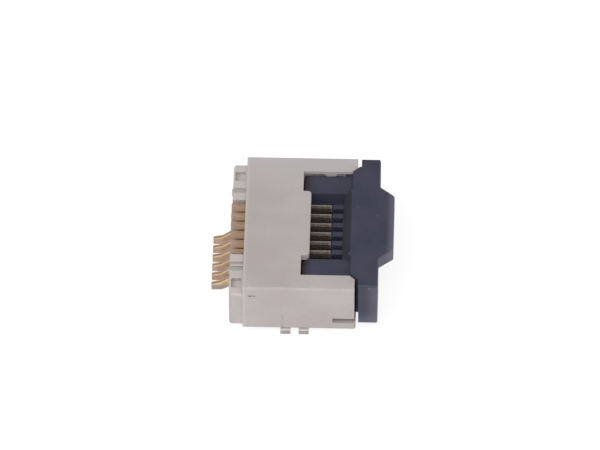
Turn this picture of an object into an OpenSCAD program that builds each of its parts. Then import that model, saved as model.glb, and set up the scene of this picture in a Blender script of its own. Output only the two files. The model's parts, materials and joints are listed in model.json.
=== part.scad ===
// Surface-mounted connector for a flat flexible cable, with a sliding lock.
// Millimetres. +X runs along the row of contacts and -Y is the side where the
// cable goes in. Z = 0 is the face of the circuit board, and X = 0, Y = 0 is
// the middle of the whole connector, closed. Outlines seen from the side and from
// above are drawn with "d", the distance in front of the body's rear top edge.

/* [Contacts] */
// Number of contacts in the row
ways = 6; // [4:1:12]
// Distance from one contact to the next
pitch = 0.5; // [0.5:0.05:0.8]
// Thickness of the metal strip that the contacts are stamped from
strip_t = 0.18; // [0.14:0.01:0.22]
// Height of the upper beam of a contact
beam_h = 0.28; // [0.2:0.01:0.34]
// Height of the lower beam of a contact at its root
spring_h = 0.3; // [0.22:0.01:0.34]
// Distance from the body's rear edge to the tips of the upper beams
beam_reach = 3.41; // [3.2:0.01:3.5]
// Distance from the body's rear edge to the noses that touch the cable
nose_reach = 2.95; // [2.7:0.01:3.0]
// Radius of the nose that touches the cable
nose_r = 0.12; // [0.08:0.01:0.14]
// Height of a free nose above the deck that the cable lies on
nose_rise = 0.15; // [0.1:0.01:0.25]
// Reach of a contact's root plate behind the ledge
root_out = 0.03; // [0.01:0.01:0.05]
// Length of a contact's root plate in front of the body's rear edge
root_l = 0.8; // [0.6:0.01:1.0]
// Distance from the body's rear edge back to the ends of the tails
tail_reach = 1.3; // [1.1:0.01:1.6]
// Length of the foot at the end of a tail
foot_l = 0.26; // [0.2:0.01:0.35]
// Height of a tail's foot where the bend starts
foot_h = 0.33; // [0.24:0.01:0.34]
// Fall of the foot's top from the bend to its end
foot_fall = 0.07; // [0.02:0.01:0.1]
// Angle at which a tail climbs from its foot, in degrees
tail_slope = 38; // [30:1:45]
// Inner radius of the bend above the foot
tail_r = 0.2; // [0.1:0.01:0.25]
// Side clearance of a contact in its slot
slot_gap = 0.015; // [0.01:0.005:0.03]

/* [Cable] */
// Thickness of the stiffened end of the cable
cable_t = 0.3; // [0.2:0.01:0.35]
// Clearance between the cable's edge and its side wall
cable_gap = 0.065; // [0.03:0.005:0.1]
// Spare height above the cable, under the slider's tongue
cable_lift = 0.1; // [0.05:0.01:0.15]

/* [Housing] */
// Height of the housing's underside above the board
stand = 0.25; // [0.2:0.01:0.3]
// Height of the housing itself
body_h = 2.25; // [2.15:0.01:2.6]
// Length of the body from its rear edge to the ends of its arms
body_l = 4.4; // [4.3:0.01:4.6]
// Width of each arm beside the slider's rail
arm_w = 0.655; // [0.6:0.005:0.8]
// Reach of the rim at the top of each arm over the rail
rim_w = 0.13; // [0.1:0.01:0.16]
// Radius along the long top and bottom edges
edge_r = 0.1; // [0.05:0.01:0.15]
// Thickness of the floor under the slider's rails
floor_t = 0.36; // [0.32:0.01:0.42]
// Height of the cable deck above that floor
deck_h = 0.24; // [0.2:0.01:0.28]
// Thickness of the cover
cover_t = 0.3; // [0.25:0.01:0.35]
// Length of the cover from the body's rear edge to the opening
cover_l = 2.26; // [2.1:0.01:2.35]
// Further reach of the cover's middle over the contacts
tab_reach = 0.32; // [0.2:0.01:0.4]
// Radius of the corners of the cover's middle
tab_r = 0.15; // [0.05:0.01:0.18]
// Chamfer on the inner corners of the arms' ends
mouth_c = 0.2; // [0.15:0.01:0.22]
// Reach of the floor past the ends of the arms
lip_l = 0.05; // [0.03:0.01:0.08]
// Height of the slot in each end face
end_slot_h = 0.25; // [0.15:0.01:0.35]
// Length of the slot in each end face
end_slot_l = 0.86; // [0.6:0.01:1.0]
// Depth of the slot in each end face
end_slot_in = 0.4; // [0.2:0.01:0.5]

/* [Rear ledge] */
// Length of the ledge behind the body's rear edge
ledge_l = 0.54; // [0.5:0.01:0.6]
// Step in from the body's end faces to the ledge's ends
ledge_in = 0.03; // [0.02:0.01:0.3]
// Step down from the body's top to the middle of the ledge
ledge_drop = 0.31; // [0.31:0.01:0.4]
// Further step down from the ledge's middle to its ends
ledge_end_drop = 0.13; // [0.05:0.01:0.2]
// Step up from the body's underside to the ledge's underside
ledge_lift = 0.15; // [0.05:0.01:0.25]
// Width of the ledge's raised middle
ledge_mid_w = 3.8; // [3.4:0.01:3.85]
// Radius of the ledge's upright corners
ledge_r = 0.25; // [0.15:0.01:0.3]
// Side clearance of the notch around the row of contacts
notch_gap = 0.16; // [0.1:0.01:0.2]
// Depth of that notch below the ledge
notch_h = 0.95; // [0.6:0.01:1.2]
// Width of the shallow pocket at each end of the ledge
pocket_w = 0.5; // [0.3:0.01:0.55]
// Length of that pocket
pocket_l = 0.38; // [0.2:0.01:0.4]
// Depth of that pocket
pocket_h = 0.15; // [0.05:0.01:0.25]

/* [Fitting nails] */
// Thickness of the nail's sheet metal
nail_t = 0.22; // [0.15:0.01:0.23]
// Distance from the cable's edge to the middle of the nail's leaf
nail_out = 0.4; // [0.37:0.01:0.45]
// Step down from the ledge's ends to the top of the leaf
leaf_drop = 0.02; // [0.01:0.01:0.3]
// Length of the leaf in front of the body's rear edge
leaf_l = 0.95; // [0.7:0.01:1.2]
// Reach of the stub at the leaf's rear top corner behind the ledge
stub_l = 0.04; // [0.02:0.01:0.15]
// Height of that stub
stub_h = 0.22; // [0.1:0.01:0.4]
// Distance from the body's rear edge to the first toe
toe_start = 1.49; // [1.35:0.01:1.6]
// Width of a toe
toe_w = 0.4; // [0.3:0.01:0.45]
// Width of the notch between the two toes
toe_gap = 0.32; // [0.2:0.01:0.36]
// Length of the notch between the two toes
toe_l = 0.5; // [0.3:0.01:0.6]
// Reach of the toes past the housing's end face
toe_out = 0.07; // [0.02:0.01:0.2]

/* [Slider] */
// How far the slider moves out to let the cable go
travel = 0.9; // [0.7:0.01:0.95]
// Clearance between the slider and the housing
run_gap = 0.05; // [0.03:0.005:0.07]
// Width of each rail
rail_w = 1.125; // [1.05:0.005:1.2]
// Step down from the housing's top to the rails
rail_drop = 0.18; // [0.18:0.01:0.24]
// Length of the slanted rear end of a rail
rail_slant = 0.28; // [0.1:0.01:0.35]
// Fall of the rail's top along that slanted end
slant_fall = 0.18; // [0.05:0.01:0.4]
// Gap between the arms' ends and the slider's head
head_gap = 0.15; // [0.12:0.01:0.2]
// Length of the head
head_l = 0.76; // [0.6:0.01:0.85]
// Step in from the housing's end faces to the head's ends
head_in = 0.12; // [0.05:0.01:0.25]
// Rise of the head above the housing's top
head_rise = 0.1; // [0.05:0.01:0.15]
// Height of the head's underside above the housing's underside
head_clear = 0.24; // [0.15:0.01:0.3]
// Radius of the head's upright front corners
head_r = 0.15; // [0.05:0.01:0.2]
// Radius along the top of the head's ends and front
head_edge_r = 0.1; // [0.05:0.01:0.14]
// Length of the neck between the rails and the head
neck_l = 0.33; // [0.28:0.01:0.35]
// Width of the neck past the rims' gap on each side
neck_out = 0.26; // [0.15:0.01:0.27]
// Reach of the pull tab in front of the head
pull_l = 0.58; // [0.4:0.01:0.7]
// Width of the pull tab where it leaves the head
pull_w = 3.88; // [3.4:0.01:4.2]
// Width of the pull tab's front face
pull_front_w = 2.89; // [2.4:0.01:3.0]
// Thickness of the pull tab
pull_t = 0.6; // [0.45:0.01:0.7]
// Width of each rib behind the window's front wall
rib_w = 0.25; // [0.2:0.01:0.3]
// Length of those ribs
rib_l = 0.4; // [0.35:0.01:0.45]
// Length of the sloped top of the window's front wall
ramp_l = 0.34; // [0.2:0.01:0.34]
// Size of the slanted front corners of the window
corner_c = 0.1; // [0.05:0.01:0.15]
// Reach of the tongue behind the rails
tongue_back = 0.7; // [0.5:0.01:0.8]
// Length of the tongue's tapered rear end
tongue_taper = 0.6; // [0.4:0.01:0.8]
// Thickness of the tongue's rear edge
tongue_edge = 0.2; // [0.15:0.01:0.3]
// Depth of the locking hook on each rail
hook_out = 0.15; // [0.1:0.01:0.18]
// Length of that hook
hook_l = 0.3; // [0.2:0.01:0.35]
// Height of that hook
hook_h = 0.4; // [0.3:0.01:0.5]
// Distance from the body's rear edge to the boss under each arm's rim
boss_start = 3.08; // [3.0:0.01:3.2]
// Length of that boss
boss_l = 0.52; // [0.3:0.01:0.6]
// Depth of that boss below the rim
boss_h = 0.15; // [0.05:0.01:0.25]
// Length of the open part of the rail's relief in front of the boss
relief_l = 0.33; // [0.1:0.01:0.38]
// Depth of that relief past the rim
relief_w = 0.1; // [0.06:0.01:0.16]

/* [Hidden] */
$fn = 48;

housing_colour = "#b8afa9";
slider_colour = "#484854";
contact_colour = "#c59b6d";
nail_colour = "#b4b6bc";

// How far a cut runs past the face that it opens
past = 0.5;
// How far joined forms run into each other
bite = 0.1;

// Across the row
cable_w = (ways + 1) * pitch;
window_w = cable_w + 2 * cable_gap;
rails_w = window_w + 2 * rail_w;
bay_w = rails_w + 2 * run_gap;
mouth_w = bay_w - 2 * rim_w;
cavity_w = window_w + 2 * run_gap;
tab_w = window_w - 2 * run_gap;
body_w = bay_w + 2 * arm_w;
ledge_w = body_w - 2 * ledge_in;
head_w = body_w - 2 * head_in;
notch_w = (ways - 1) * pitch + strip_t + 2 * notch_gap;
nail_x = cable_w / 2 + nail_out;

// Up from the board
floor_z = stand + floor_t;
deck_z = floor_z + deck_h;
top_z = stand + body_h;
cover_z = top_z - cover_t;
groove_z = stand + floor_t / 2;
beam_z = cover_z - run_gap;
beam_low_z = beam_z - beam_h;
tongue_z = beam_low_z - run_gap;
passage_z = deck_z + cable_t + cable_lift;
ledge_z = top_z - ledge_drop;
ledge_end_z = ledge_z - ledge_end_drop;
leaf_z = ledge_end_z - leaf_drop;
ledge_low_z = stand + ledge_lift;
rail_z = top_z - rail_drop;
rim_z = rail_z + run_gap;
boss_z = rim_z - boss_h;
rail_low_z = floor_z + run_gap;
head_z = top_z + head_rise;
head_low_z = stand + head_clear;
hook_z = (rail_low_z + rail_z - hook_h) / 2;

// Forward from the body's rear edge
rail_start = cover_l + run_gap;
head_start = body_l + head_gap;
head_end = head_start + head_l;
front_end = head_end + pull_l;
neck_start = head_start - neck_l;
rib_start = beam_reach + run_gap;
wall_d = rib_start + rib_l;
tongue_start = rail_start - tongue_back;
cavity_d = root_l + run_gap;
toe_end = toe_start + 2 * toe_w + toe_gap;
boss_end = boss_start + boss_l;
window_end = wall_d + ramp_l;
rear_y = (front_end - tail_reach) / 2;

// Places of the contacts along the row
function contact_x(i) = (i - (ways + 1) / 2) * pitch;

// Extrudes a side outline, drawn as (d, height), along the row.
module along_row(width, x = 0) {
    translate([x, rear_y, 0])
        rotate([90, 0, -90])
            linear_extrude(width, center = true)
                children();
}

// Extrudes a front outline, drawn as (X, height), from one d to another.
module along_depth(from, to) {
    translate([0, rear_y - from, 0])
        rotate([90, 0, 0])
            linear_extrude(to - from)
                children();
}

// Extrudes an outline seen from above, drawn as (X, d), between two heights.
module upright(low, high) {
    translate([0, rear_y, low])
        mirror([0, 1, 0])
            linear_extrude(high - low)
                children();
}

// The same form at both ends of the row.
module both_ends() {
    children();
    mirror([1, 0, 0])
        children();
}

// A rectangle between two corners.
module box_2d(x0, y0, x1, y1) {
    translate([x0, y0])
        square([x1 - x0, y1 - y0]);
}

// A rectangle between two corners, with its upper front corner rounded.
module nose_box_2d(d0, z0, d1, z1, r) {
    box_2d(d0, z0, d1 - r, z1);
    box_2d(d0, z0, d1, z1 - r);
    translate([d1 - r, z1 - r])
        circle(r);
}

// A rectangle between two corners, with rounded corners.
module round_box_2d(x0, y0, x1, y1, r) {
    box_2d(x0 + r, y0, x1 - r, y1);
    box_2d(x0, y0 + r, x1, y1 - r);
    for (x = [x0 + r, x1 - r], y = [y0 + r, y1 - r])
        translate([x, y])
            circle(r);
}

// Arms, floor and cover, open at the front, with the cable's cavity inside.
module body_shell() {
    difference() {
        union() {
            along_depth(0, body_l)
                round_box_2d(-body_w / 2, stand, body_w / 2, top_z, edge_r);
            along_depth(bite, body_l + lip_l)
                box_2d(-body_w / 2 + edge_r, stand, body_w / 2 - edge_r, floor_z);
            rear_ledge();
        }
        along_depth(cover_l, body_l + past)
            box_2d(-bay_w / 2, floor_z, bay_w / 2, rim_z);
        along_depth(cover_l, body_l + past)
            box_2d(-mouth_w / 2, rim_z - bite, mouth_w / 2, top_z + past);
        along_depth(cavity_d, body_l)
            box_2d(-cavity_w / 2, floor_z, cavity_w / 2, cover_z);
        both_ends()
            arm_mouth();
    }
}

// Chamfer on the inner corner of one arm's end.
module arm_mouth() {
    upright(floor_z, top_z + past)
        polygon([
            [mouth_w / 2 - bite, body_l - mouth_c - bite],
            [mouth_w / 2 + mouth_c + past, body_l + past],
            [mouth_w / 2 - bite, body_l + past]
        ]);
}

// Step behind the body, with rounded corners and a raised middle.
module rear_ledge() {
    intersection() {
        along_depth(-ledge_l, bite)
            round_box_2d(-ledge_w / 2, ledge_low_z, ledge_w / 2, ledge_end_z, edge_r);
        upright(ledge_low_z, ledge_end_z)
            round_box_2d(-ledge_w / 2, -ledge_l, ledge_w / 2, bite + ledge_r, ledge_r);
    }
    along_depth(-ledge_l, bite)
        box_2d(-ledge_mid_w / 2, ledge_low_z + bite, ledge_mid_w / 2, ledge_z);
}

// Middle of the cover, reaching forward over the contacts.
module cover_tab() {
    upright(cover_z, top_z)
        round_box_2d(-tab_w / 2, cover_l - bite - tab_r, tab_w / 2, cover_l + tab_reach, tab_r);
}

// Raised deck that the cable lies on, sloped at the front to lead it in.
module cable_deck() {
    along_row(cable_w)
        polygon([
            [cavity_d - bite, floor_z - bite],
            [cavity_d - bite, deck_z],
            [body_l - deck_h, deck_z],
            [body_l, floor_z],
            [body_l, floor_z - bite]
        ]);
}

// Boss under one arm's rim, in the relief of the rail.
module rim_boss() {
    along_row(rim_w + bite, (mouth_w + rim_w + bite) / 2)
        polygon([
            [boss_start, rim_z + bite],
            [boss_start, rim_z],
            [boss_start + boss_h / 2, boss_z],
            [boss_end - boss_h / 2, boss_z],
            [boss_end, rim_z],
            [boss_end, rim_z + bite]
        ]);
}

// Slot for one contact: through the rear wall, then a groove along the deck.
module contact_slot(x) {
    along_row(strip_t + 2 * slot_gap, x)
        polygon([
            [-ledge_l - past, stand - past],
            [-slot_gap, stand - past],
            [-slot_gap, groove_z],
            [beam_reach, groove_z],
            [beam_reach, deck_z + bite],
            [cavity_d + bite, deck_z + bite],
            [cavity_d + bite, beam_z + slot_gap],
            [-ledge_l - past, beam_z + slot_gap]
        ]);
}

// Slot for one nail's leaf, open at the rear, at the underside and in the ledge.
module nail_slot() {
    along_row(nail_t + 2 * slot_gap, nail_x) {
        box_2d(-ledge_l - past, stand - past, 0, top_z);
        box_2d(-bite, stand - past, leaf_l + slot_gap, leaf_z + slot_gap);
        box_2d(0, stand - past, toe_end + slot_gap, groove_z + slot_gap);
    }
}

// Groove in one arm's inner wall where the rail's hook runs.
module hook_groove() {
    upright(hook_z - run_gap, hook_z + hook_h + run_gap)
        box_2d(
            bay_w / 2 - bite,
            cover_l,
            rails_w / 2 + hook_out + run_gap,
            rail_start + hook_l + travel + run_gap
        );
}

// Slot in one end face, open at the arm's end.
module end_slot() {
    upright(floor_z, floor_z + end_slot_h)
        box_2d(body_w / 2 - end_slot_in, body_l - end_slot_l, body_w / 2 + past, body_l + past);
}

// Shallow pocket near one end of the ledge.
module ledge_pocket() {
    pocket_x = (nail_x + nail_t / 2 + ledge_w / 2) / 2;
    upright(ledge_end_z - pocket_h, top_z)
        box_2d(
            pocket_x - pocket_w / 2,
            -(ledge_l + pocket_l) / 2,
            pocket_x + pocket_w / 2,
            -(ledge_l - pocket_l) / 2
        );
}

module housing() {
    color(housing_colour)
        difference() {
            union() {
                body_shell();
                cover_tab();
                cable_deck();
                both_ends()
                    rim_boss();
            }
            for (i = [1:ways])
                contact_slot(contact_x(i));
            along_depth(-ledge_l - past, 0)
                box_2d(-notch_w / 2, ledge_z - notch_h, notch_w / 2, top_z);
            both_ends() {
                nail_slot();
                hook_groove();
                end_slot();
                ledge_pocket();
            }
        }
}

// Outline of a contact's tail: a foot that bends and climbs to the root plate.
module tail_2d() {
    foot_d = foot_l - tail_reach;
    root_z = groove_z + slot_gap;
    root_d = bite - ledge_l;
    low_r = tail_r + foot_h;
    bend = [for (k = [0:6]) tail_slope * k / 6];
    top_bend = [for (a = bend) [foot_d + tail_r * sin(a), foot_h + tail_r * (1 - cos(a))]];
    low_bend = [for (a = bend) [foot_d + low_r * sin(tail_slope - a), low_r * (1 - cos(tail_slope - a))]];
    top_end = top_bend[6];
    low_end = low_bend[0];
    polygon(concat(
        [[-tail_reach, 0], [-tail_reach, foot_h - foot_fall]],
        top_bend,
        [
            [root_d, top_end[1] + (root_d - top_end[0]) * tan(tail_slope)],
            [low_end[0] + (root_z - low_end[1]) / tan(tail_slope), root_z]
        ],
        low_bend
    ));
}

// Outline of a contact's root plate with its two beams. The lower one springs
// up against the cable, and the slider's tongue bears on the upper one.
module fork_2d() {
    low_z = groove_z + slot_gap;
    nose_z = deck_z + nose_rise - nose_r;
    nose = [
        for (a = [160:-20:-20])
            [nose_reach + nose_r * cos(a), nose_z + nose_r * sin(a)]
    ];
    polygon(concat(
        [
            [-ledge_l - root_out, low_z + ledge_lift],
            [-ledge_l - root_out, beam_z],
            [beam_reach, beam_z],
            [beam_reach, beam_low_z + beam_h / 3],
            [beam_reach - beam_h / 2, beam_low_z],
            [beam_reach - beam_h, beam_low_z],
            [root_l, beam_low_z - beam_h / 4],
            [root_l, low_z + spring_h],
            [nose_reach - 5 * nose_r, low_z + spring_h * 0.75]
        ],
        nose,
        [
            [nose_reach + 2 * nose_r, nose_z - nose_r],
            [nose_reach + 2 * nose_r, nose_z - 2 * nose_r],
            [nose_reach - 2 * nose_r, low_z + slot_gap],
            [bite - ledge_l, low_z]
        ]
    ));
}

// One stamped contact: root plate, two beams and a tail.
module contact(i) {
    mouth_low = groove_z + slot_gap + spring_h;
    mouth_high = beam_low_z - beam_h / 4;
    color(contact_colour) {
        along_row(strip_t, contact_x(i))
            tail_2d();
        along_row(strip_t, contact_x(i))
            difference() {
                fork_2d();
                translate([root_l, (mouth_low + mouth_high) / 2])
                    circle((mouth_high - mouth_low) / 2 - slot_gap);
            }
    }
}

// One fitting nail: an upright leaf, and a flange bent out under the housing.
module nail() {
    bend_r = nail_t + slot_gap;
    inner_x = nail_x - nail_t / 2;
    color(nail_colour) {
        along_row(nail_t, nail_x) {
            box_2d(-ledge_l, ledge_low_z, leaf_l, leaf_z);
            box_2d(slot_gap, stand + slot_gap, leaf_l, leaf_z);
            box_2d(-ledge_l - stub_l, leaf_z - stub_h, 0, leaf_z);
            box_2d(leaf_l - bite, stand + slot_gap, toe_end, groove_z);
        }
        along_depth(toe_start, toe_end)
            difference() {
                union() {
                    box_2d(inner_x + bend_r, 0, inner_x + 2 * bend_r, bend_r);
                    box_2d(inner_x, bend_r, inner_x + bend_r, groove_z);
                    intersection() {
                        translate([inner_x + bend_r, bend_r])
                            circle(bend_r);
                        box_2d(inner_x, 0, inner_x + bend_r, bend_r);
                    }
                }
                box_2d(inner_x + nail_t, nail_t, inner_x + past, groove_z + past);
            }
        difference() {
            upright(0, nail_t)
                box_2d(inner_x + bend_r, toe_start, body_w / 2 + toe_out, toe_end);
            upright(-past, nail_t + past) {
                box_2d(
                    body_w / 2 + toe_out - toe_l + toe_gap / 2,
                    toe_start + toe_w,
                    body_w / 2 + toe_out + past,
                    toe_end - toe_w
                );
                translate([body_w / 2 + toe_out - toe_l + toe_gap / 2, toe_start + toe_w + toe_gap / 2])
                    circle(toe_gap / 2);
            }
        }
    }
}

// One rail of the slider, with the relief that clears the boss and its locking hook.
module rail() {
    side_x = rails_w / 2;
    difference() {
        along_row(rail_w, side_x - rail_w / 2)
            polygon([
                [rail_start, rail_low_z],
                [rail_start, rail_z - slant_fall],
                [rail_start + rail_slant, rail_z],
                [head_start + bite, rail_z],
                [head_start + bite, rail_low_z]
            ]);
        upright(boss_z - run_gap, head_z)
            box_2d(mouth_w / 2 - run_gap, rail_start - bite, side_x + past, boss_end + run_gap);
        upright(boss_z - run_gap, head_z)
            box_2d(mouth_w / 2 - relief_w, boss_start - run_gap, side_x + past, boss_end + relief_l);
    }
    upright(hook_z, hook_z + hook_h)
        polygon([
            [side_x - bite, rail_start],
            [side_x, rail_start],
            [side_x + hook_out, rail_start + hook_l / 2],
            [side_x + hook_out, rail_start + hook_l],
            [side_x - bite, rail_start + hook_l]
        ]);
}

// Tongue that presses the cable down, with a thin edge at the rear.
module tongue() {
    edge_low = (passage_z + tongue_z - tongue_edge) / 2;
    along_row(window_w)
        polygon([
            [tongue_start, edge_low],
            [tongue_start, edge_low + tongue_edge],
            [tongue_start + tongue_taper, tongue_z],
            [head_start + bite, tongue_z],
            [head_start + bite, passage_z],
            [tongue_start + tongue_taper, passage_z]
        ]);
}

// Front wall of the window, sloped at its top, with a rib in line with each contact.
module window_wall() {
    along_row(window_w)
        polygon([
            [wall_d, passage_z],
            [wall_d, beam_z],
            [window_end, head_z],
            [head_start + bite, head_z],
            [head_start + bite, passage_z]
        ]);
    for (i = [1:ways])
        along_row(rib_w, contact_x(i))
            box_2d(rib_start, tongue_z - bite, wall_d + bite, beam_z);
}

// Slanted front corner of the window.
module window_corner() {
    upright(passage_z, head_z)
        polygon([
            [window_w / 2, window_end - corner_c],
            [window_w / 2 - 3 * corner_c, window_end],
            [window_w / 2 - 3 * corner_c, window_end + bite],
            [window_w / 2, window_end + bite]
        ]);
}

// Neck between the rails and the head, tapered like the mouth of the arms.
module neck() {
    rear_x = mouth_w / 2 - run_gap;
    upright(rail_low_z, head_z)
        polygon([
            [-rear_x, neck_start],
            [rear_x, neck_start],
            [rear_x + neck_out, neck_start + neck_out],
            [rear_x + neck_out, head_start + bite],
            [-rear_x - neck_out, head_start + bite],
            [-rear_x - neck_out, neck_start + neck_out]
        ]);
}

// Head across the front, with the pull tab along its top edge.
module head() {
    intersection() {
        upright(head_low_z, head_z) {
            round_box_2d(-head_w / 2, head_start, head_w / 2, head_end, head_r);
            box_2d(-head_w / 2, head_start, head_w / 2, head_end - head_r);
        }
        along_row(head_w)
            nose_box_2d(head_start, head_low_z, head_end, head_z, head_edge_r);
        along_depth(head_start, head_end)
            round_box_2d(-head_w / 2, head_low_z, head_w / 2, head_z, head_edge_r);
    }
    intersection() {
        upright(head_z - pull_t, head_z)
            polygon([
                [-pull_w / 2, head_end - head_edge_r - bite],
                [-pull_w / 2, head_end],
                [-pull_front_w / 2, front_end],
                [pull_front_w / 2, front_end],
                [pull_w / 2, head_end],
                [pull_w / 2, head_end - head_edge_r - bite]
            ]);
        along_row(pull_w)
            nose_box_2d(head_start, head_z - pull_t, front_end, head_z, head_edge_r);
    }
}

// Way in for the cable under the neck and the head, flared at the front.
module cable_way() {
    along_row(window_w)
        polygon([
            [neck_start - bite, head_low_z - past],
            [neck_start - bite, passage_z],
            [head_end - head_l / 3, passage_z],
            [head_end + past, passage_z + past + head_l / 3],
            [head_end + past, head_low_z - past]
        ]);
}

module slider() {
    color(slider_colour)
        difference() {
            union() {
                both_ends() {
                    rail();
                    window_corner();
                }
                tongue();
                window_wall();
                neck();
                head();
            }
            cable_way();
        }
}

module nail_left() {
    mirror([1, 0, 0])
        nail();
}

module nail_right() {
    nail();
}

housing();
slider();
nail_left();
nail_right();
for (i = [1:ways])
    contact(i);
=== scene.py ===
"""Looks of the flat-cable connector: finish of each surface, light and camera."""

import json
import math
from types import SimpleNamespace

import bpy
from mathutils import Matrix, Vector


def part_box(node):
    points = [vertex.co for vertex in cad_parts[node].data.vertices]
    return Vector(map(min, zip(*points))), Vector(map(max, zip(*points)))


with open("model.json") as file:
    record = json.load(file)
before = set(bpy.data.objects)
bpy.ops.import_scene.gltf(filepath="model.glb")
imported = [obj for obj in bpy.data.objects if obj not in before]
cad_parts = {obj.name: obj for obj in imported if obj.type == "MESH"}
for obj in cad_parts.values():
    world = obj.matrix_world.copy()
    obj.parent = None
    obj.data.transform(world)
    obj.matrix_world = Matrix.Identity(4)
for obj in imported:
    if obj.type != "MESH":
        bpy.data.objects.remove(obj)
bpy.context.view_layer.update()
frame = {"nodes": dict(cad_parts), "record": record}
MM = 0.001

# Distances from the body's rear face, in millimetres: the ledge's end behind it, and
# the cover's front edge and the slider rails' rear ends before it
LEDGE_DEPTH = 0.54
COVER_DEPTH = 2.3
RAIL_START = 2.31


# ---------------------------------------------------------------- places

def middle(node):
    """The middle of a node's box, in millimetres."""
    low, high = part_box(node)
    return (Vector(low) + Vector(high)) / 2 / MM


housing_low, housing_high = (Vector(corner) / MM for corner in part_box("housing"))
slider_low, slider_high = (Vector(corner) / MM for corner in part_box("slider"))
first_contact = middle("contact_1").x
pitch = middle("contact_2").x - first_contact
contact_tip, tail_end = (corner[1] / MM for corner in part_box("contact_1"))
body_rear = housing_high.y - LEDGE_DEPTH
cover_front = body_rear - COVER_DEPTH
rail_rear = body_rear - RAIL_START


# ---------------------------------------------------------------- shader helpers

class Graph:
    """A material's node tree, with the object's own coordinates in millimetres."""

    def __init__(self, name):
        self.material = bpy.data.materials.new(name)
        self.material.use_nodes = True
        self.tree = self.material.node_tree
        self.shader = self.tree.nodes["Principled BSDF"]
        coords = self.tree.nodes.new("ShaderNodeTexCoord")
        self.mm = self.vector_math("MULTIPLY", coords.outputs["Object"], (1 / MM,) * 3)
        self.facing = self.parts(coords.outputs["Normal"])

    def node(self, kind, **inputs):
        made = self.tree.nodes.new(kind)
        for key, value in inputs.items():
            self.put(made.inputs[key.replace("_", " ")], value)
        return made

    def put(self, socket, value):
        if isinstance(value, bpy.types.NodeSocket):
            self.tree.links.new(value, socket)
        else:
            socket.default_value = value

    def parts(self, vector):
        """The x, y and z of a vector."""
        return tuple(self.node("ShaderNodeSeparateXYZ", Vector=vector).outputs)

    def math(self, operation, a, b=0.0):
        made = self.tree.nodes.new("ShaderNodeMath")
        made.operation = operation
        self.put(made.inputs[0], a)
        self.put(made.inputs[1], b)
        return made.outputs[0]

    def vector_math(self, operation, a, b):
        made = self.tree.nodes.new("ShaderNodeVectorMath")
        made.operation = operation
        self.put(made.inputs[0], a)
        self.put(made.inputs[1], b)
        return made.outputs["Value" if operation == "LENGTH" else "Vector"]

    def noise(self, size_mm, detail=3.0, stretch=(1, 1, 1)):
        """Noise from 0 to 1 with features about size_mm across, drawn out along an axis."""
        at = self.vector_math("DIVIDE", self.mm, stretch)
        made = self.node(
            "ShaderNodeTexNoise", Vector=at, Scale=1 / size_mm, Detail=detail, Roughness=0.55
        )
        return made.outputs["Fac"]

    def ramp(self, value, low, high, start=0.0, end=1.0):
        """Start below low and end above high, with a smooth step between."""
        made = self.tree.nodes.new("ShaderNodeMapRange")
        made.interpolation_type = "SMOOTHSTEP"
        for index, number in enumerate((value, low, high, start, end)):
            self.put(made.inputs[index], number)
        return made.outputs[0]

    def fade(self, value, low, high, start=1.0):
        """Start below low and 0 above high."""
        return self.ramp(value, low, high, start, 0.0)

    def all_of(self, first, *others):
        """The product of several masks."""
        for other in others:
            first = self.math("MULTIPLY", first, other)
        return first

    def band(self, value, low, high, soft):
        """1 between low and high, else 0, with soft borders."""
        return self.all_of(
            self.ramp(value, low - soft, low + soft),
            self.fade(value, high - soft, high + soft),
        )

    def mix(self, factor, a, b):
        made = self.tree.nodes.new("ShaderNodeMix")
        made.data_type = "RGBA"
        for socket, value in zip((made.inputs[0], made.inputs[6], made.inputs[7]), (factor, a, b)):
            self.put(socket, value)
        return made.outputs[2]

    def faces(self, axis, low, high, end=1.0):
        """End where the surface faces along an axis (0, 1 or 2) either way, else 0."""
        return self.ramp(self.math("ABSOLUTE", self.facing[axis]), low, high, 0.0, end)

    def spot(self, centre_mm, reach_mm, soft=0.6):
        """1 inside an ellipsoid round a place on the object, fading to 0 at its edge."""
        away = self.vector_math("SUBTRACT", self.mm, centre_mm)
        scaled = self.vector_math("DIVIDE", away, reach_mm)
        return self.fade(self.vector_math("LENGTH", scaled, (0, 0, 0)), soft, 1.0)

    def finish(self, base, texture, roughness, relief_mm, **constants):
        """Joins the colour, and a texture's roughness and relief, to the shader."""
        self.put(self.shader.inputs["Base Color"], base)
        self.put(self.shader.inputs["Roughness"], self.ramp(texture, 0.2, 0.8, *roughness))
        relief = self.node("ShaderNodeBump", Strength=1.0, Distance=relief_mm * MM, Height=texture)
        self.put(self.shader.inputs["Normal"], relief.outputs[0])
        for name, value in constants.items():
            self.shader.inputs[name.replace("_", " ")].default_value = value
        return self.material


def colour(r, g, b):
    """A linear colour from the 0 to 255 values of a screen colour."""
    linear = []
    for value in (r, g, b):
        part = value / 255
        linear.append(part / 12.92 if part <= 0.04045 else ((part + 0.055) / 1.055) ** 2.4)
    return (*linear, 1.0)


def palette(**screen_colours):
    """Linear colours by name."""
    return SimpleNamespace(**{name: colour(*values) for name, values in screen_colours.items()})


# ---------------------------------------------------------------- housing

# pale is painted light, used on the ledge's tops and the cover's rear edge
BEIGE = palette(
    dull=(173, 164, 161),
    light=(180, 173, 171),
    grain=(164, 153, 147),
    cool=(196, 198, 202),
    pale=(201, 192, 187),
    smear=(110, 84, 78),
    smear_core=(84, 60, 54),
    line=(140, 128, 124),
)


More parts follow.
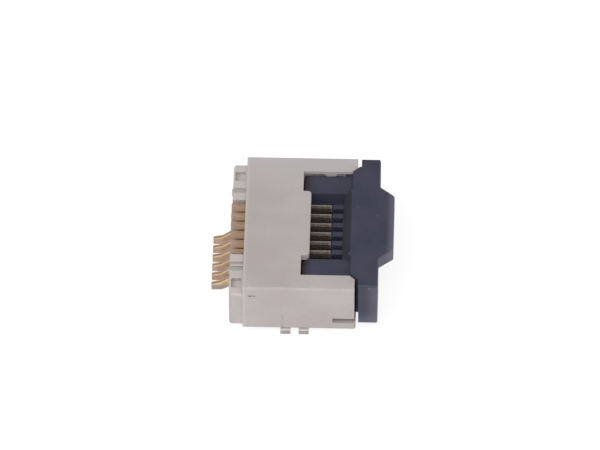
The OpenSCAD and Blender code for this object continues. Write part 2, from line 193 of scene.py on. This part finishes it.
def housing_material():
    """Pale beige moulded plastic, with faint flow marks and one dirt mark."""
    g = Graph("housing_plastic_look")
    x, y, z = g.parts(g.mm)
    clouds = g.noise(2.2, 2.0, (1.0, 1.6, 1.0))
    grain = g.noise(0.09, 4.0)
    base = g.mix(g.ramp(clouds, 0.35, 0.65), BEIGE.dull, BEIGE.light)
    base = g.mix(g.ramp(grain, 0.3, 0.75, 0.0, 0.25), base, BEIGE.grain)
    base = g.mix(g.ramp(x, housing_high.x - 2.6, housing_high.x, 0.0, 0.3), base, BEIGE.cool)

    # painted light: the ledge's tops are painted paler against the body's shade, and the cover's
    # rear edge gets a painted highlight
    ledge = g.all_of(g.ramp(y, body_rear + 0.01, body_rear + 0.06), g.faces(2, 0.5, 0.9), 0.66)
    edge = g.all_of(
        g.ramp(y, body_rear - 0.16, body_rear - 0.04, 0.0, 0.35),
        g.fade(y, body_rear, body_rear + 0.01),
    )
    base = g.mix(g.math("MAXIMUM", ledge, edge), base, BEIGE.pale)

    # the brown smear high on the near end face, with its darker core
    smear = g.spot((housing_low.x, body_rear - 0.4, 2.05), (0.2, 0.2, 0.06))
    smear = g.all_of(smear, g.ramp(g.noise(0.05), 0.3, 0.6), 0.55)
    base = g.mix(smear, base, BEIGE.smear)
    core = g.spot((housing_low.x, body_rear - 0.29, 2.045), (0.1, 0.07, 0.045))
    base = g.mix(g.all_of(core, 0.75), base, BEIGE.smear_core)

    # a faint upright line low on that face
    line = g.all_of(
        g.band(y, body_rear - 1.6, body_rear - 1.54, 0.02),
        g.fade(x, housing_low.x + 0.02, housing_low.x + 0.1, 0.3),
        g.fade(z, 0.95, 1.1),
    )
    base = g.mix(line, base, BEIGE.line)
    return g.finish(base, grain, (0.5, 0.68), 0.006, Specular_IOR_Level=0.35)


# ---------------------------------------------------------------- slider

# The pale colour is painted light, the deep one painted shade, and the warm one a painted
# reflection
SLATE = palette(
    dark=(34, 35, 58),
    light=(47, 47, 68),
    grain=(74, 74, 84),
    pale=(98, 98, 118),
    deep=(10, 10, 16),
    warm=(92, 74, 70),
    speck=(150, 150, 160),
)

# Pale specks on the slider: place and radius in millimetres, and strength
SPECKS = (
    ((slider_low.x, body_rear - 4.99, 2.47), 0.05, 0.35),
    ((0.88, body_rear - 4.45, slider_high.z), 0.04, 0.25),
    ((0.35, body_rear - 5.24, slider_high.z), 0.05, 0.2),
)


def slider_material():
    """Dark slate moulded plastic, finely grained, with a few pale specks."""
    g = Graph("slider_plastic_look")
    x, y, z = g.parts(g.mm)
    clouds = g.noise(1.4, 3.0)
    grain = g.noise(0.06, 5.0)
    base = g.mix(g.ramp(clouds, 0.3, 0.7), SLATE.dark, SLATE.light)
    base = g.mix(g.ramp(grain, 0.45, 0.8, 0.0, 0.35), base, SLATE.grain)

    # painted light: paler at the pull tab's rim for a painted highlight, low down for a painted
    # reflection of the white floor, and on the upright faces near the front for painted light from
    # the front
    rim_highlight = g.fade(y, slider_low.y, slider_low.y + 0.35, 0.7)
    foot = g.fade(z, slider_low.z, slider_low.z + 0.7, 0.5)
    front_painted_light = g.all_of(
        g.fade(y, slider_low.y + 0.55, slider_low.y + 1.15, 0.42),
        g.fade(z, slider_high.z - 0.12, slider_high.z - 0.04),
    )
    for paler in (rim_highlight, foot, front_painted_light):
        base = g.mix(paler, base, SLATE.pale)

    # inside the window the shaded side walls are painted paler, and the sloped front gets painted
    # shade
    off_middle = g.math("ABSOLUTE", x)
    sides = g.all_of(g.band(off_middle, 1.75, 2.1, 0.04), g.faces(0, 0.8, 0.95, 0.2))
    base = g.mix(sides, base, SLATE.pale)
    slope_shade = g.all_of(
        g.fade(off_middle, 2.0, 2.2),
        g.band(g.math("ABSOLUTE", g.facing[1]), 0.35, 0.9, 0.05),
        g.ramp(y, housing_low.y, housing_low.y + 0.05, 0.0, 0.5),
    )
    base = g.mix(slope_shade, base, SLATE.deep)

    # a painted warm reflection of the beige housing wall on the rails' slanted rear ends
    ends_reflection = g.all_of(
        g.ramp(y, rail_rear - 0.3, rail_rear - 0.2, 0.0, 0.35),
        g.ramp(z, slider_high.z - 0.55, slider_high.z - 0.5),
        g.ramp(x, -1.0, 1.0, 0.7, 1.0),
    )
    base = g.mix(ends_reflection, base, SLATE.warm)
    for at, radius, strength in SPECKS:
        speck = g.spot(at, (radius, radius, radius), 0.3)
        base = g.mix(g.all_of(speck, strength), base, SLATE.speck)
    return g.finish(base, grain, (0.5, 0.64), 0.006, Specular_IOR_Level=0.7)


# ---------------------------------------------------------------- contacts

# The bright lines, glints and the grey foot are painted highlights and a painted reflection, the
# slot's side colours carry painted light and shade, and the beam colours are painted dark for the
# shade in the window
GOLD = palette(
    tail_top=(190, 162, 140),
    tail_dull_line=(150, 118, 88),
    tail_bright_line=(240, 210, 166),
    tail_side=(192, 164, 140),
    tail_side_light=(208, 180, 162),
    tail_side_line=(226, 194, 152),
    tail_foot=(160, 150, 143),
    tail_tip=(156, 146, 142),
    slot_top=(172, 145, 122),
    slot_top_back=(184, 162, 146),
    slot_side=(230, 200, 172),
    slot_side_back=(206, 184, 168),
    slot_deep=(128, 94, 66),
    slot_deep_back=(202, 178, 158),
    beam_top=(98, 86, 80),
    beam_dull_line=(62, 51, 46),
    beam_bright_line=(150, 139, 133),
    beam_glint=(205, 192, 180),
    beam_side=(86, 75, 68),
    beam_side_glint=(132, 112, 98),
    beam_tip=(150, 138, 130),
    streak=(128, 102, 82),
)
# A tail's foot in millimetres, and how steeply the tail climbs from there to the body
FOOT_TOP, FOOT_LENGTH, TAIL_CLIMB = 0.32, 0.3, 0.78


def tail_colour(g, across, rolled):
    """A painted highlight line at the near edge of the sheared top, a painted highlight along the
    top of each side, and a painted grey reflection low on the sides.
    """
    x, y, z = g.parts(g.mm)
    top = g.mix(g.band(across, 0.46, 0.54, 0.03), GOLD.tail_top, GOLD.tail_dull_line)
    # painted highlight line at the near edge of the sheared top
    top = g.mix(g.fade(across, 0.4, 0.46), top, GOLD.tail_bright_line)

    patches = g.noise(0.22, 2.0)
    side = g.mix(g.ramp(patches, 0.35, 0.65), GOLD.tail_side, GOLD.tail_side_light)
    climb = g.math("MAXIMUM", g.math("SUBTRACT", tail_end - FOOT_LENGTH, y), 0.0)
    top_z = g.math("ADD", g.math("MULTIPLY", climb, TAIL_CLIMB), FOOT_TOP)
    # a painted highlight along the top of each side, just under the sheared top
    side = g.mix(g.fade(g.math("SUBTRACT", top_z, z), 0.02, 0.16, 0.7), side, GOLD.tail_side_line)
    # a painted grey reflection low on the sides, strongest on the nearest tail
    foot = g.all_of(
        g.fade(z, 0.16, 0.34),
        g.ramp(x, first_contact - 0.05, first_contact, 0.9, 0.15),
    )
    side = g.mix(foot, side, GOLD.tail_foot)

    tail = g.mix(rolled, top, side)
    return g.mix(g.ramp(y, tail_end - 0.1, tail_end - 0.02, 0.0, 0.6), tail, GOLD.tail_tip)


def slot_colour(g, rolled):
    """At the ledge: dull sheared tops, sides painted brighter, and painted shade low in the slot
    that eases off away from the body.
    """
    _, y, z = g.parts(g.mm)
    back = g.ramp(y, body_rear + 0.2, body_rear + 0.5)
    # painted shade low in the slot under sides painted brighter, both less strong away from the
    # body
    deep = g.mix(back, GOLD.slot_deep, GOLD.slot_deep_back)
    high = g.mix(back, GOLD.slot_side, GOLD.slot_side_back)
    side = g.mix(g.ramp(z, 1.84, 1.92), deep, high)
    return g.mix(rolled, g.mix(back, GOLD.slot_top, GOLD.slot_top_back), side)


def beam_colour(g, across, rolled):
    """In the window: colours painted dark for the shade there, a painted highlight line at the far
    edge of the sheared top, and small painted glints.
    """
    y = g.parts(g.mm)[1]
    glints = g.noise(0.045, 2.0, (1, 1.5, 1))
    top = g.mix(g.band(across, 0.44, 0.52, 0.02), GOLD.beam_top, GOLD.beam_dull_line)
    # painted highlight line at the far edge
    top = g.mix(g.ramp(across, 0.52, 0.57), top, GOLD.beam_bright_line)
    # small painted glints on the tops and the sides
    top = g.mix(g.ramp(glints, 0.6, 0.68, 0.0, 0.6), top, GOLD.beam_glint)
    side = g.mix(g.ramp(glints, 0.5, 0.65, 0.0, 0.5), GOLD.beam_side, GOLD.beam_side_glint)
    beam = g.mix(rolled, top, side)
    return g.mix(g.fade(y, contact_tip, contact_tip + 0.12, 0.55), beam, GOLD.beam_tip)


def contact_material():
    """Gold-flashed copper alloy, stamped: painted highlight lines beside darker lines on the
    sheared tops, and painted shade on the beams in the window.
    """
    g = Graph("contact_metal_look")
    x, y, _ = g.parts(g.mm)
    # 0 to 1 over each pitch, with the contact's middle at 0.5
    across = g.math("SUBTRACT", x, first_contact - pitch / 2)
    across = g.math("FRACT", g.math("DIVIDE", across, pitch))
    rolled = g.faces(0, 0.5, 0.9)
    streaks = g.noise(0.1, 3.0, (1, 3, 1))

    base = g.mix(
        g.ramp(y, body_rear + 0.56, body_rear + 0.62),
        slot_colour(g, rolled),
        tail_colour(g, across, rolled),
    )
    # in the window the contacts take the beam colours, painted dark for the shade there
    window_shaded = g.fade(y, cover_front - 0.1, cover_front + 0.1)
    base = g.mix(window_shaded, base, beam_colour(g, across, rolled))
    base = g.mix(g.ramp(streaks, 0.45, 0.8, 0.0, 0.25), base, GOLD.streak)
    return g.finish(base, streaks, (0.48, 0.64), 0.004, Metallic=0.55)


# ---------------------------------------------------------------- nails

TIN = palette(
    dull=(178, 175, 174),
    light=(204, 201, 199),
    sheared=(146, 143, 144),
    toe_top=(246, 244, 242),
)


def nail_material():
    """Matte tin plate on stamped sheet, with toes darker in patches on their sheared ends and
    painted light on their tops.
    """
    g = Graph("tinned_metal_look")
    z = g.parts(g.mm)[2]
    grain = g.noise(0.05, 4.0)
    base = g.mix(grain, TIN.dull, TIN.light)
    # the toes' sheared ends are darker in patches, and their tops get painted light against the
    # housing's shade
    toe = g.fade(z, 0.25, 0.3)
    end_patches = g.ramp(g.noise(0.12), 0.3, 0.6, 0.5, 0.9)
    base = g.mix(g.all_of(g.faces(0, 0.4, 0.8), toe, end_patches), base, TIN.sheared)
    base = g.mix(g.all_of(g.faces(2, 0.5, 0.9), toe), base, TIN.toe_top)
    return g.finish(base, grain, (0.35, 0.55), 0.004, Metallic=0.6)


# ---------------------------------------------------------------- pieces

LOOKS = {
    "housing_plastic": housing_material,
    "slider_plastic": slider_material,
    "contact_metal": contact_material,
    "tinned_metal": nail_material,
}
# Rounding of the small edges of each finish, in millimetres
EDGES = {
    "housing_plastic": 0.03,
    "slider_plastic": 0.018,
    "contact_metal": 0.007,
    "tinned_metal": 0.018,
}
WELD_REACH = 0.0005
FLAT_ANGLE, EDGE_ANGLE = math.radians(1), math.radians(40)


def soften_edges(obj, width_mm):
    """Joins the facets of each flat face, then rounds the edges between faces."""
    weld = obj.modifiers.new("join_facets", "WELD")
    weld.merge_threshold = WELD_REACH * MM
    flat = obj.modifiers.new("flat_faces", "DECIMATE")
    flat.decimate_type = "DISSOLVE"
    flat.angle_limit = FLAT_ANGLE
    bevel = obj.modifiers.new("soft_edges", "BEVEL")
    bevel.width = width_mm * MM
    bevel.segments = 2
    bevel.limit_method = "ANGLE"
    bevel.angle_limit = EDGE_ANGLE
    bevel.use_clamp_overlap = True


def dress_nodes():
    """Gives each node the look and the edges of its finish."""
    made = {slot: look() for slot, look in LOOKS.items()}
    for part in frame["record"]["subparts"]:
        obj = frame["nodes"][part["node"]]
        obj.data.materials.clear()
        obj.data.materials.append(made[part["material_slot"]])
        soften_edges(obj, EDGES[part["material_slot"]])


# ---------------------------------------------------------------- stage

# Rays that see the floor as a white table with a slight shadow
SEEING_FLOOR = ("Is Camera Ray", "Is Glossy Ray", "Is Transmission Ray")
# To those rays the floor is part lit and part glowing, which adds up to white
FLOOR_SHADE = 0.22
FLOOR_GLOW = 0.84
# To all other rays it is plain and lit
FLOOR_USUAL = 0.86
FLOOR_SIZE = 1.6

# Rays that see the world as white, and its strength to the others
SEEING_WORLD = ("Is Camera Ray", "Is Transmission Ray")
WORLD_USUAL = 0.52

# Square lamps that look at the part: name, place and size in millimetres, and watts
LAMPS = (
    ("key_light", (-116, 12, 138), 110, 0.148),
    ("rear_light", (-50, 140, 110), 110, 0.1),
    ("front_light", (-90, -140, 50), 90, 0.05),
)

# The camera looks along the row, in degrees and millimetres
ELEVATION = 45.68
SWING = 1.47
DISTANCE = 387.4
LENS = 587.1
SENSOR = 36
AIM = (0, body_rear - 2.2, 1.25)
AIM_UP, AIM_LEFT = 0.782, 0.027


def pick(tree, kinds, usual, direct):
    """One number for most rays and another for rays of any of these kinds."""
    path = tree.nodes.new("ShaderNodeLightPath")
    seen = path.outputs[kinds[0]]
    for other in kinds[1:]:
        either = tree.nodes.new("ShaderNodeMath")
        either.operation = "MAXIMUM"
        tree.links.new(seen, either.inputs[0])
        tree.links.new(path.outputs[other], either.inputs[1])
        seen = either.outputs[0]
    chosen = tree.nodes.new("ShaderNodeMapRange")
    chosen.inputs["To Min"].default_value = usual
    chosen.inputs["To Max"].default_value = direct
    tree.links.new(seen, chosen.inputs["Value"])
    return chosen.outputs[0]


def make_floor():
    """A white table under the part, wide enough to fill any view."""
    bpy.ops.mesh.primitive_plane_add(size=FLOOR_SIZE, location=(0, 0, 0))
    floor = bpy.context.object
    floor.name = "floor"
    material = bpy.data.materials.new("floor_white")
    material.use_nodes = True
    tree = material.node_tree
    shader = tree.nodes["Principled BSDF"]
    shade = pick(tree, SEEING_FLOOR, FLOOR_USUAL, FLOOR_SHADE)
    tree.links.new(shade, shader.inputs["Base Color"])
    shader.inputs["Roughness"].default_value = 0.9
    shader.inputs["Specular IOR Level"].default_value = 0.0
    glow = tree.nodes.new("ShaderNodeEmission")
    tree.links.new(pick(tree, SEEING_FLOOR, 0.0, FLOOR_GLOW), glow.inputs["Strength"])
    both = tree.nodes.new("ShaderNodeAddShader")
    tree.links.new(shader.outputs[0], both.inputs[0])
    tree.links.new(glow.outputs[0], both.inputs[1])
    tree.links.new(both.outputs[0], tree.nodes["Material Output"].inputs["Surface"])
    floor.data.materials.append(material)


def make_world():
    """An even pale studio that the camera sees as white."""
    world = bpy.data.worlds.new("studio")
    bpy.context.scene.world = world
    world.use_nodes = True
    tree = world.node_tree
    back = tree.nodes["Background"]
    back.inputs["Color"].default_value = (1, 1, 1, 1)
    tree.links.new(pick(tree, SEEING_WORLD, WORLD_USUAL, 1.0), back.inputs["Strength"])


def add_softbox(name, at_mm, size_mm, watts):
    """A square soft lamp that looks at the part."""
    lamp = bpy.data.lights.new(name, "AREA")
    lamp.shape = "SQUARE"
    lamp.size = size_mm * MM
    lamp.energy = watts
    obj = bpy.data.objects.new(name, lamp)
    bpy.context.scene.collection.objects.link(obj)
    obj.location = Vector(at_mm) * MM
    obj.rotation_mode = "QUATERNION"
    obj.rotation_quaternion = (-Vector(at_mm)).to_track_quat("-Z", "Y")


def make_camera():
    """A long lens along the row, looking down."""
    elevation, swing = math.radians(ELEVATION), math.radians(SWING)
    forward = Vector((
        math.cos(elevation) * math.cos(swing),
        math.cos(elevation) * math.sin(swing),
        -math.sin(elevation),
    ))
    right = Vector((math.sin(swing), -math.cos(swing), 0))
    up = right.cross(forward)
    place = Vector(AIM) - DISTANCE * forward + AIM_UP * up - AIM_LEFT * right
    data = bpy.data.cameras.new("camera")
    data.lens = LENS
    data.sensor_width = SENSOR
    camera = bpy.data.objects.new("camera", data)
    bpy.context.scene.collection.objects.link(camera)
    turn = Matrix((right, up, -forward)).transposed().to_4x4()
    camera.matrix_world = Matrix.Translation(place * MM) @ turn
    bpy.context.scene.camera = camera


bpy.context.scene.view_settings.view_transform = "Standard"
dress_nodes()
make_floor()
make_world()
for lamp_values in LAMPS:
    add_softbox(*lamp_values)
make_camera()
